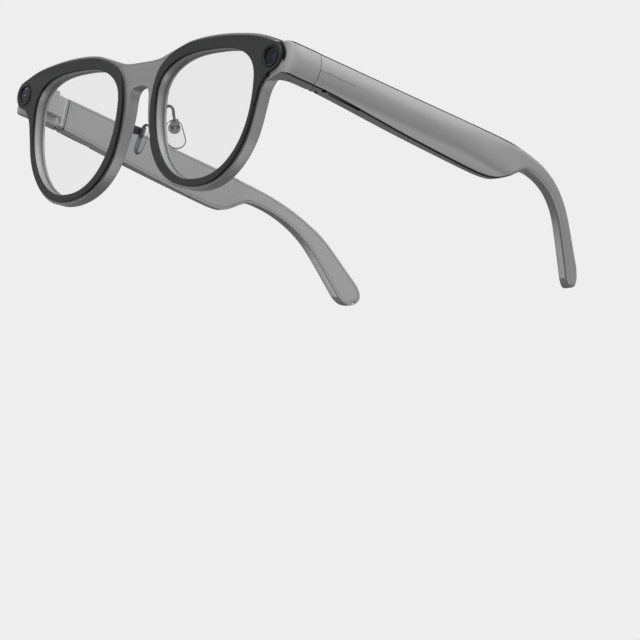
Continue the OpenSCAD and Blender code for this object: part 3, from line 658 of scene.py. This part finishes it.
def seam_core(place, grow):
    """Long round bar whose back is the bulging seam."""
    r = (SEAM_HALF_Z ** 2 + SEAM_BULGE ** 2) / (2 * SEAM_BULGE)
    slant = math.atan(SEAM_SLOPE)
    c, s = math.cos(slant), math.sin(slant)

    def put(a, b, level):
        y = SEAM_BULGE - r + a
        return place(SEAM_X + level * c + y * s, SEAM_Y - level * s + y * c, b)
    return prism(circle_loop(0, 0, r + grow, 360), -14, 10, put)


# Pockets in an end piece's inner face for the hinge: (y from, y to, z from, z to)
POCKETS = [(8.8, 19, -3.45, 3.05), (17.3, 22.3, -5.6, -0.6)]
POCKET_DEPTH = 1.05
front_mesh = rim
for side in (1, -1):
    temple_at = on_temple(side)
    inner_mitre = [(-0.4, seam_at(-0.4)), (-0.4, 30), (-9, 30), (-9, seam_at(-9))]
    end = boolean(end_piece(side), prism(inner_mitre, -THROUGH, THROUGH, temple_at))
    end = boolean(end, seam_core(temple_at, 0), "INTERSECT")
    front_mesh = boolean(front_mesh, end, "UNION")
    front_mesh = boolean(front_mesh, prism(circle_loop(*PIVOT, RELIEF_R), -THROUGH, THROUGH, temple_at))
    for y0, y1, z0, z1 in POCKETS:
        pocket = box_loop(INNER_X - 1, y0, INNER_X + POCKET_DEPTH, y1)
        front_mesh = boolean(front_mesh, prism(pocket, z0, z1, temple_at))
# Slots 1 to 3 hold painted shade: the lobe band and cups, the lens groove, and the sunk edge lines
front = new_object("front_shell", front_mesh, "front",
                   [silver, painted_shade_edge, cover_silver_and_groove_shade, edge_shade_line])
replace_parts(front, "front_frame")

# ---- Front plates ----
# Mark 1 paints the plates' side walls near-black: painted shade.
plate_edge = [(0.22, 0.0, 0), (0.07, 0.06, 0), (0.0, 0.2, 1), (0.0, PLATE_T, 1)]
lobe_edge = [(0.12, 0.0, 0), (0.0, 0.1, 1), (0.0, PLATE_T, 1)]
for side, name in ((1, "left"), (-1, "right")):
    loop = plate_loop if side > 0 else mirrored_loop(plate_loop)
    holes = [(lens_loops[side], plate_edge), (lobe_loops[side], lobe_edge)]
    mesh = slab(name + "_plate", loop, plate_edge, holes, on_front)
    plate = new_object(name + "_plate_skin", mesh, "front", [dark_plate, painted_shade_edge])
    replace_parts(plate, name + "_front_plate")

# ---- Lenses: shallow bowed sheets seated in the groove ----
LENS_MIDDLE = (35.0, -16.5)
LENS_FACES = (3.05, 4.55)
LENS_STEPS = 16
for side, name in ((1, "left"), (-1, "right")):
    edge = grown(lens_loop, GROOVE_D - 0.05)
    cu, cv = LENS_MIDDLE
    verts, faces = [], []
    steps = LENS_STEPS
    m = len(edge)
    for depth in LENS_FACES:
        for k in range(steps + 1):
            f = 1 - k / steps
            if k == steps:
                verts.append(on_front(side * cu, cv, depth))
            else:
                verts += [on_front(side * (cu + (u - cu) * f), cv + (v - cv) * f, depth) for u, v in edge]
    layer = m * steps + 1
    for base in (0, layer):
        for k in range(steps - 1):
            for i in range(m):
                j = (i + 1) % m
                a, b = base + k * m, base + (k + 1) * m
                faces.append((a + i, a + j, b + j, b + i))
        a, tip = base + (steps - 1) * m, base + layer - 1
        faces += [(a + i, a + (i + 1) % m, tip) for i in range(m)]
    faces += [(i, (i + 1) % m, layer + (i + 1) % m, layer + i) for i in range(m)]
    sheet = new_object(name + "_lens_sheet", mesh_from(name + "_lens", verts, faces), "front",
                       [lens_glass], weighted=False)
    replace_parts(sheet, name + "_lens")

# ---- Temples ----
# A temple's upper and lower edges from the side, (back, up), from the seam to the tip
UPPER = [
    (SEAM_Y + SEAM_GAP, TOP_Z), (COVER_Y, TOP_Z), (34, TOP_Z), (47, TOP_Z), (60, TOP_Z), (75, TOP_Z),
    (90, TOP_Z), (98, 5.5), (103.5, 5.46), (108, 5.4), (112, 5.27), (116, 5.1), (124, 4.1), (131.5, 2.2),
    (137, 0.1), (141.2, -2), (144.8, -4.1), (148, -6.5), (152, -10.1), (157, -14.9), (162.3, -19.9)]
LOWER = [
    (SEAM_Y + SEAM_GAP, -5.95), (COVER_Y, -6), (34, -6.5), (47, -7.3), (60, -8), (75, -8.6), (90, -9.1),
    (98, -9.1), (103.5, -8.3), (108, -6.1), (112, -3.4), (116, -1.5), (122.2, -1.62), (127.6, -2.6),
    (132.4, -4.15), (136.8, -6.4), (140.4, -8.9), (143.6, -11.9), (147.2, -15.8), (151.9, -21.3),
    (156.3, -26.5)]
# Steps between two points of an edge, and round the tip
STEPS = 6
TIP_STEPS = 12


def eased(t):
    """Smooth step from 0 to 1."""
    t = min(max(t, 0), 1)
    return t * t * (3 - 2 * t)


def smooth_min(a, b, k=0.3):
    h = max(k - abs(a - b), 0) / k
    return min(a, b) - h * h * k / 4


def bend(y):
    """Angle and inward shift of the hook's middle line at a distance back."""
    a = 0 if y < BEND_Y else min(math.asin(min((y - BEND_Y) / BEND_R, 1)), BEND_TURN)
    y_arc = min(y, BEND_Y + BEND_R * math.sin(BEND_TURN))
    return a, -BEND_R * (1 - math.cos(a)) - max(y - y_arc, 0) * math.tan(BEND_TURN)


def hook_x(y, d):
    """x of the bent hook at a distance back, d out from its middle line."""
    at = y
    for _ in range(3):
        a, x = bend(at)
        at = y - d * math.sin(a)
    a, x = bend(at)
    return x + d * math.cos(a)


def table(points, y):
    """Value at y on the straight lines between points."""
    for (y0, x0), (y1, x1) in zip(points, points[1:]):
        if y <= y1:
            t = max((y - y0) / (y1 - y0), 0)
            return x0 + (x1 - x0) * t
    return points[-1][1]


OUTER_PLAN = [(10, 4.35), (60, 4.35), (82, 4.05), (92, 3.6), (101, 2.9), (109, 2.0)]
OUTER_FINE = smooth_run(OUTER_PLAN, 6)
# Where the straight temple hands over to the bent hook and over what length, and where the bulge ends
HOOK_Y, HOOK_RUN = 106, 10
FLAT_Y, BULGE_REACH_Z = 120, 9.3


def inner_x(y):
    if y < HOOK_Y:
        return INNER_X
    t = min((y - HOOK_Y) / HOOK_RUN, 1)
    return INNER_X * (1 - t) + hook_x(y, -HOOK_T / 2) * t


def outer_x(y, z):
    if y < HOOK_Y:
        plan = table(OUTER_FINE, y)
    else:
        t = eased((y - HOOK_Y) / HOOK_RUN)
        plan = table(OUTER_FINE, y) * (1 - t) + hook_x(y, HOOK_T / 2) * t
    if y > FLAT_Y:
        return plan
    soft = 0.3 + 1.1 * min(max((y - 72) / 20, 0), 1)
    return smooth_min(plan, barrel_x(z) if abs(z) < BULGE_REACH_Z else plan, soft)


def offset_run(run, d):
    """Open run moved to its right by d."""
    out = []
    for i, p in enumerate(run):
        a, b = run[max(i - 1, 0)], run[min(i + 1, len(run) - 1)]
        tx, ty = b[0] - a[0], b[1] - a[1]
        n = math.hypot(tx, ty) or 1
        out.append((p[0] + d * ty / n, p[1] - d * tx / n))
    return out


def stations(inset):
    """Pairs of upper and lower points (y, z) from the seam to the tip, moved in from the edge."""
    upper = offset_run(smooth_run(UPPER, STEPS), inset)
    lower = offset_run(smooth_run(LOWER, STEPS), -inset)
    r = TIP_R - inset
    for k in range(1, TIP_STEPS + 1):
        t = 86 * math.sin(math.pi / 2 * k / TIP_STEPS)
        up, low = math.radians(42 - t), math.radians(-130 + t)
        upper.append((TIP_C[0] + r * math.cos(up), TIP_C[1] + r * math.sin(up)))
        lower.append((TIP_C[0] + r * math.cos(low), TIP_C[1] + r * math.sin(low)))
    return list(zip(upper, lower))


def sheared(place):
    """Placing with the front end slid onto the mitre of the seam."""
    def put(x, y, z, station):
        f = min(max((COVER_Y - station) / (COVER_Y - SEAM_Y - SEAM_GAP), 0), 1)
        return place(x, y + f * (SEAM_X - x) * SEAM_SLOPE, z)
    return put


def tip_thinning(k, count):
    """How far both faces draw in at station k, which is nothing until the rounding of the tip."""
    return (max(k - (count - TIP_STEPS - 1), 0) / TIP_STEPS) ** 3


def shell_rings(side, start):
    """Rings of the temple's shell and their marks; the cover's recess begins at station start."""
    place = sheared(on_temple(side))
    edge, recess = stations(0), stations(LEDGE)
    rings, marks = [], []
    for k, ((up, low), (cut_up, cut_low)) in enumerate(zip(edge, recess)):
        height = max(math.dist(up, low), 0.001)
        station = min(up[0], 100)
        thin = tip_thinning(k, len(edge))
        hook = eased((up[0] - 100) / 20)
        r_out = min(0.45 + 1.35 * hook, height * 0.45)
        r_in = min(0.3 + 0.3 * hook, height * 0.45)

        def at(b):
            return low[0] + (up[0] - low[0]) * b / height, low[1] + (up[1] - low[1]) * b / height

        outer, tags = [], []
        line = min(max((112 - up[0]) / 6, 0), 1)
        for b, inset, mark in outer_section(0, height, r_out, line):
            y, z = at(b)
            outer.append((outer_x(y, z) - inset - thin, y, z))
            tags.append(2 * mark)
        turn = rounded_section(0, height, r_in, 3, 2)
        n = len(turn) // 2
        inner_top = [(inner_x(at(b)[0]) + inset + thin, *at(b)) for b, inset in reversed(turn[n + 1:])]
        inner_low = [(inner_x(at(b)[0]) + inset + thin, *at(b)) for b, inset in reversed(turn[:n])]
        # The recess starts square, so its first station has two rings
        depths = (0.0, COVER_T) if k == start else ((0.0,) if k < start else (COVER_T,))
        for depth in depths:
            corners = ((0, cut_up), (depth, cut_up), (depth, cut_low), (0, cut_low))
            step = [(inner_x(p[0]) + d + thin, *p) for d, p in corners]
            ring = outer + inner_top + step + inner_low
            rings.append([place(x, y, z, station) for x, y, z in ring])
            marks.append(tags + [0] * (len(ring) - len(tags)))
    return rings, marks


def cover_rings(side, start):
    """Rings of the inner cover from station start to the tip: a plate with a softened edge."""
    place = sheared(on_temple(side))
    rings = []
    pairs = stations(LEDGE + 0.1)
    for k, (up, low) in enumerate(pairs):
        if k < start:
            continue
        station = min(up[0], 100)
        thin = tip_thinning(k, len(pairs))
        height = max(math.dist(up, low), 0.001)
        soft = min(0.14, height * 0.3)
        t0, t1 = soft / height, 1 - soft / height

        def mix(t):
            return low[0] + (up[0] - low[0]) * t, low[1] + (up[1] - low[1]) * t

        x_up, x_low = inner_x(up[0]), inner_x(low[0])
        ring = [(x_up + 0.93 + thin, *up), (x_up + 0.14 + thin, *up)]
        ring += [(x_up + 0.04 + thin, *mix(1 - (1 - t1) * 0.3)), (x_up + thin, *mix(t1))]
        ring += [(inner_x(mix(t)[0]) + thin, *mix(t)) for t in (0.75, 0.5, 0.25)]
        ring += [(x_low + thin, *mix(t0)), (x_low + 0.04 + thin, *mix(t0 * 0.3))]
        ring += [(x_low + 0.14 + thin, *low), (x_low + 0.93 + thin, *low)]
        shift = 0.1 if k == start else 0.0
        rings.append([place(x, y + shift, z, station) for x, y, z in ring])
    return rings


def slot_loop(x0, x1, y0, y1, n=8):
    """Slot with round ends along y."""
    r, x = (x1 - x0) / 2, (x0 + x1) / 2
    return arc((x, y1 - r), r, 0, 180, n) + arc((x, y0 + r), r, 180, 360, n)


# The cover starts at the edges' second point
START = STEPS
# In the temple's frame: the microphone's hole (x, y, radius), the slot under the temple (x and y from and to),
# the left temple's engraved line and the right temple's button well
MIC = (1.7, 22.4, 0.85)
UNDER_SLOT = (0.9, 1.8, 25, 39)
LINE_Y, LINE_Z, LINE_CUT = (17.5, 33.5), (-0.55, -0.3), 0.22
WELL_X, WELL_Y, WELL_R, WELL_DEPTH = -0.4, (29.9, 35.1), 1.18, 1.2
for side, name in ((1, "left"), (-1, "right")):
    temple_at = on_temple(side)
    rings, marks = shell_rings(side, START)
    shell = loft(name + "_shell", rings, lambda k, i: marks[k][i] if k >= 0 else 0)
    outer_part = prism(box_loop(SEAM_BULGE_X, 0, 12, 30), -12, 12, temple_at)
    bulge = boolean(seam_core(temple_at, SEAM_GAP), outer_part, "INTERSECT")
    cuts = [
        bulge,
        # The relief's faces take the near-black edge material: painted shade in the gap at the hinge.
        prism(circle_loop(*PIVOT, RELIEF_R), -THROUGH, THROUGH, temple_at, 2),
        # The microphone hole's and the under slot's walls are painted black: painted shade in the holes
        prism(circle_loop(*MIC, 32), -THROUGH, -4, temple_at, 1),
        prism(slot_loop(*UNDER_SLOT), -THROUGH, -5.2, temple_at, 1)]
    if side > 0:
        engraved = box_loop(BULGE_X - LINE_CUT, LINE_Y[0], BULGE_X + 1, LINE_Y[1])
        cuts.append(prism(engraved, *LINE_Z, temple_at))
    else:
        well = arc((WELL_X, WELL_Y[1]), WELL_R, 0, 180, 16) + arc((WELL_X, WELL_Y[0]), WELL_R, 180, 360, 16)
        # The well's walls are painted black: painted shade round the button
        cuts.append(prism(well, TOP_Z - WELL_DEPTH, TOP_Z + 2, temple_at, 1))
    for tool in cuts:
        shell = boolean(shell, tool)
    # Slots 1 and 2 hold painted shade: the black hole walls, and the sunk edge lines and hinge relief
    obj = new_object(name + "_temple_body", shell, name + "_temple",
                     [silver, black, edge_shade_line])
    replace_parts(obj, name + "_temple_shell")
    cover_mesh = loft(name + "_cover", cover_rings(side, START))
    cover = new_object(name + "_inner_cover", cover_mesh, name + "_temple", [cover_silver_and_groove_shade])
    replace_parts(cover, name + "_temple_cover")

# ---- Small parts: CAD shapes with rounded edges ----
for side in ("left", "right"):
    bevelled(side + "_cover_block", side + "_hinge_cover", grey_plastic, "front", 0.25)
    bevelled(side + "_front_leaf", side + "_front_hinge_leaf", bright_steel, "front", 0.15)
    bevelled(side + "_temple_leaf", side + "_temple_hinge_leaf", bright_steel,
             side + "_temple", 0.15)
    bevelled(side + "_pad_holder", side + "_nose_pad_insert", clear_plastic,
             side + "_pad", 0.08)
bevelled("capture_button_cap", "right_capture_button", silver, "button", 0.15)

# ---- Camera and indicator ----
# Turned profiles of (radius, height over the plate's face, mark)
RING = [(3.73, -1.4, 0), (3.73, 0.06, 0), (3.66, 0.2, 0), (3.52, 0.27, 0), (3.36, 0.27, 0), (3.27, 0.2, 0),
        (3.2, 0.02, 1), (3.1, -0.02, 1), (3.05, -0.1, 0), (2.93, -0.36, 0), (2.91, -1.4, 0)]
for name, side in (("camera", 1), ("indicator", -1)):
    ring = new_object(name + "_ring", revolved(name + "_ring", RING, on_lobe(side)), "front",
                      [black_bezel, dark_grey])
    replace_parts(ring, name + "_bezel")
LENS_RING = [(2.5, -1.09, 0), (2.5, -1.04, 0), (2.42, -1.01, 0), (2.3, -1.01, 0), (2.22, -1.05, 0),
             (2.22, -1.09, 0)]
new_object("camera_inner_ring", revolved("camera_inner_ring", LENS_RING, on_lobe(1)), "front",
           [bezel_metal])
DOME = [(1.5, -1.3, 0), (1.5, -1.22, 0), (1.2, -1.13, 0), (0.85, -1.07, 0), (0.45, -1.035, 0), (0, -1.025, 0)]
new_object("camera_front_element", revolved("camera_dome", [(0, -1.3, 0)] + DOME, on_lobe(1)), "front",
           [lens_coating])

# ---- Nose pads: soft teardrops ----
PAD_AT, PAD_TURN = Vector((9, 13.9, -18)), (-13, -20, 55)
PAD_H, PAD_W = 11.2, 6.6


def on_pad(side):
    about_x, about_y, about_z = (Matrix.Rotation(math.radians(a), 3, axis) for a, axis in zip(PAD_TURN, "XYZ"))
    turn = about_z @ about_y @ about_x

    def put(x, y, z):
        p = PAD_AT + turn @ Vector((x, y, z))
        return row((side * p.x, p.y, p.z))
    return put


def pad_outline(n=96):
    up = PAD_H * 0.42 * 0.62
    top, low = PAD_H / 2 - up, -PAD_H / 2 + PAD_W / 2
    ends = [((0, top), up), ((0, low), PAD_W / 2)]
    out = []
    for k in range(n):
        t = 2 * math.pi * k / n
        d = (math.cos(t), math.sin(t))
        c, r = max(ends, key=lambda e: e[0][1] * d[1] + e[1])
        out.append((c[0] + r * d[0], c[1] + r * d[1]))
    return resampled(out, 0.3)


def pad_mesh(name, side):
    place = on_pad(side)
    edge = pad_outline()
    m = len(edge)
    # (scale towards the middle, height towards the nose): flat back, rounded edge, crowned face
    profile = [
        (0.0, -1.0), (0.35, -1.0), (0.6, -0.98), (0.82, -0.92), (0.93, -0.72), (0.985, -0.35), (1.0, 0.1),
        (0.975, 0.5), (0.9, 0.82), (0.75, 1.02), (0.5, 1.14), (0.25, 1.19), (0.0, 1.2)]
    verts, faces, rings = [], [], []
    for s, y in profile:
        if s == 0:
            rings.append([len(verts)] * m)
            verts.append(place(0, y, 0))
        else:
            rings.append([len(verts) + i for i in range(m)])
            verts += [place(u * s, y, v * s) for u, v in edge]
    for a, b in zip(rings, rings[1:]):
        for i in range(m):
            j = (i + 1) % m
            face = [a[i], a[j], b[j], b[i]]
            faces.append(tuple(dict.fromkeys(face)))
    return mesh_from(name, verts, faces)


for side, name in ((1, "left"), (-1, "right")):
    pad = new_object(name + "_soft_pad", pad_mesh(name + "_pad_skin", side), name + "_pad",
                     [silicone], weighted=False)
    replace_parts(pad, name + "_nose_pad")

# ---- Pad arms: bent wire and a small box ----
ARM_KNOTS = [
    (7.4, 4.6, -12.4), (8.4, 6.8, -11), (10, 8, -9.9), (11, 9, -10.6), (11, 10.1, -12.8), (11.2, 10.8, -14.4)]
ARM_R = 0.5
# Holder at the arm's end, in the pad's frame: its outline and the levels that it spans
HOLDER_LOOP = [
    (-1.3, -4.35), (1.3, -4.35), (1.3, -1.8), (0.75, -1.8), (0.75, -3.85), (-0.75, -3.85), (-0.75, -1.8),
    (-1.3, -1.8)]
HOLDER_LEVELS = (0.9, 3.5)


def tube(path, radius, sides, place):
    rings = []
    up = Vector((0.3, 0.2, 0.93))
    for i, p in enumerate(path):
        z = (Vector(path[min(i + 1, len(path) - 1)]) - Vector(path[max(i - 1, 0)])).normalized()
        x = z.cross(up).normalized()
        y = z.cross(x)
        rings.append([place(Vector(p) + radius * (math.cos(t) * x + math.sin(t) * y))
                      for t in [2 * math.pi * k / sides for k in range(sides)]])
    return loft("tube", rings)


for side, name in ((1, "left"), (-1, "right")):
    wire = tube(smooth_run(ARM_KNOTS, 8), ARM_R, 20, lambda p: row((side * p.x, p.y, p.z)))
    holder = prism(HOLDER_LOOP, *HOLDER_LEVELS, on_pad(side))
    arm = boolean(wire, holder, "UNION")
    obj = new_object(name + "_arm_wire", arm, "front", [steel])
    mod = obj.modifiers.new("edges", "BEVEL")
    mod.width, mod.segments, mod.limit_method, mod.angle_limit = 0.0001, 2, "ANGLE", math.radians(60)
    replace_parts(obj, name + "_nose_pad_arm")

# ---- Stage, light and camera ----


def floor_material():
    m, nodes, links, b = shader("floor_paper")
    n = noise(nodes, links, 30, 2.0)
    tone = ramp(nodes, links, n.outputs["Fac"], [(0.3, (0.80, 0.80, 0.80)), (0.7, (0.82, 0.82, 0.82))])
    links.new(tone.outputs["Color"], b.inputs["Base Color"])
    b.inputs["Roughness"].default_value = 0.9
    see = nodes.new("ShaderNodeBsdfTransparent")
    geo = nodes.new("ShaderNodeNewGeometry")
    mix = nodes.new("ShaderNodeMixShader")
    links.new(geo.outputs["Backfacing"], mix.inputs[0])
    links.new(b.outputs[0], mix.inputs[1])
    links.new(see.outputs[0], mix.inputs[2])
    links.new(mix.outputs[0], nodes["Material Output"].inputs["Surface"])
    return m


floor_mesh = bpy.data.meshes.new("floor")
FLOOR_HALF, FLOOR_Z = 2, -0.0004
floor_corners = [(x, y, FLOOR_Z) for x, y in box_loop(-FLOOR_HALF, -FLOOR_HALF, FLOOR_HALF, FLOOR_HALF)]
floor_mesh.from_pydata(floor_corners, [], [(0, 1, 2, 3)])
floor_obj = bpy.data.objects.new("floor", floor_mesh)
bpy.context.scene.collection.objects.link(floor_obj)
floor_mesh.materials.append(floor_material())
floor_obj.visible_diffuse = False
floor_obj.visible_glossy = False
floor_obj.visible_transmission = False
floor_obj.visible_shadow = False

world = bpy.data.worlds.new("studio")
bpy.context.scene.world = world
world.use_nodes = True
wn, wl = world.node_tree.nodes, world.node_tree.links
BACKDROP = 0.855
where = wn.new("ShaderNodeTexCoord")
split = wn.new("ShaderNodeSeparateXYZ")
wl.new(where.outputs["Generated"], split.inputs[0])
sky = wn.new("ShaderNodeValToRGB")
# Light from straight down (0) to straight up (1)
SKY = [(0.0, 0.1), (0.3, 0.22), (0.42, 0.44), (0.5, 0.45), (0.6, 0.42), (1.0, 0.85)]
for pos, _ in SKY[1:-1]:
    sky.color_ramp.elements.new(pos)
for e, (pos, level) in zip(sky.color_ramp.elements, SKY):
    e.position, e.color = pos, (level, level, level, 1)
half = wn.new("ShaderNodeMath")
half.operation = "MULTIPLY_ADD"
half.inputs[1].default_value, half.inputs[2].default_value = 0.5, 0.5
wl.new(split.outputs["Z"], half.inputs[0])
wl.new(half.outputs[0], sky.inputs["Fac"])
lit = wn["Background"]
wl.new(sky.outputs["Color"], lit.inputs["Color"])
aim = wn.new("ShaderNodeVectorMath")
aim.operation = "DOT_PRODUCT"
aim.inputs[1].default_value = (0.6, -0.8, 0.0)
wl.new(where.outputs["Generated"], aim.inputs[0])
strength = wn.new("ShaderNodeMath")
strength.operation = "MULTIPLY_ADD"
strength.inputs[1].default_value, strength.inputs[2].default_value = 0.2, 0.75
wl.new(aim.outputs["Value"], strength.inputs[0])
wl.new(strength.outputs[0], lit.inputs["Strength"])
flat = wn.new("ShaderNodeBackground")
flat.inputs["Color"].default_value = (BACKDROP, BACKDROP, BACKDROP, 1)
path = wn.new("ShaderNodeLightPath")
seen = wn.new("ShaderNodeMath")
seen.operation = "MAXIMUM"
wl.new(path.outputs["Is Camera Ray"], seen.inputs[0])
wl.new(path.outputs["Is Transmission Ray"], seen.inputs[1])
pick = wn.new("ShaderNodeMixShader")
wl.new(seen.outputs[0], pick.inputs[0])
wl.new(lit.outputs[0], pick.inputs[1])
wl.new(flat.outputs[0], pick.inputs[2])
wl.new(pick.outputs[0], wn["World Output"].inputs["Surface"])


LIGHT_AIM = (0, 0, 0.03)


def soft_light(name, at, size, power):
    data = bpy.data.lights.new(name, "AREA")
    data.shape, data.size, data.energy = "DISK", size, power
    obj = bpy.data.objects.new(name, data)
    bpy.context.scene.collection.objects.link(obj)
    obj.location = at
    obj.rotation_mode = "QUATERNION"
    obj.rotation_quaternion = (Vector(LIGHT_AIM) - Vector(at)).to_track_quat("-Z", "Y")
    return obj


soft_light("key", (0.45, 0.0, 1.0), 0.9, 5.0)
soft_light("back_top", (0.7, 0.75, 0.75), 0.9, 0.8)
soft_light("left_fill", (1.15, -0.1, 0.15), 1.0, 0.5)
soft_light("right_fill", (-1.2, -0.3, 0.8), 0.9, 2.4)
soft_light("low_front", (-0.8, -0.75, -0.62), 0.62, 1.6)
soft_light("low_left", (0.7, 0.5, -0.9), 1.0, 1.6)

# The photograph's view: where it is taken from in metres, which way in degrees, and the lens in millimetres
CAMERA_AT = (0.94043, -0.80456, -0.25236)
CAMERA_TURN = (100.527, -7.270, 47.577)
CAMERA_LENS = 201.17
camera_data = bpy.data.cameras.new("camera")
camera_data.lens, camera_data.sensor_width = CAMERA_LENS, 36
camera_data.clip_start, camera_data.clip_end = 0.05, 20
camera = bpy.data.objects.new("camera", camera_data)
bpy.context.scene.collection.objects.link(camera)
camera.location = CAMERA_AT
camera.rotation_euler = [math.radians(a) for a in CAMERA_TURN]
bpy.context.scene.camera = camera
bpy.context.scene.view_settings.view_transform = "Standard"
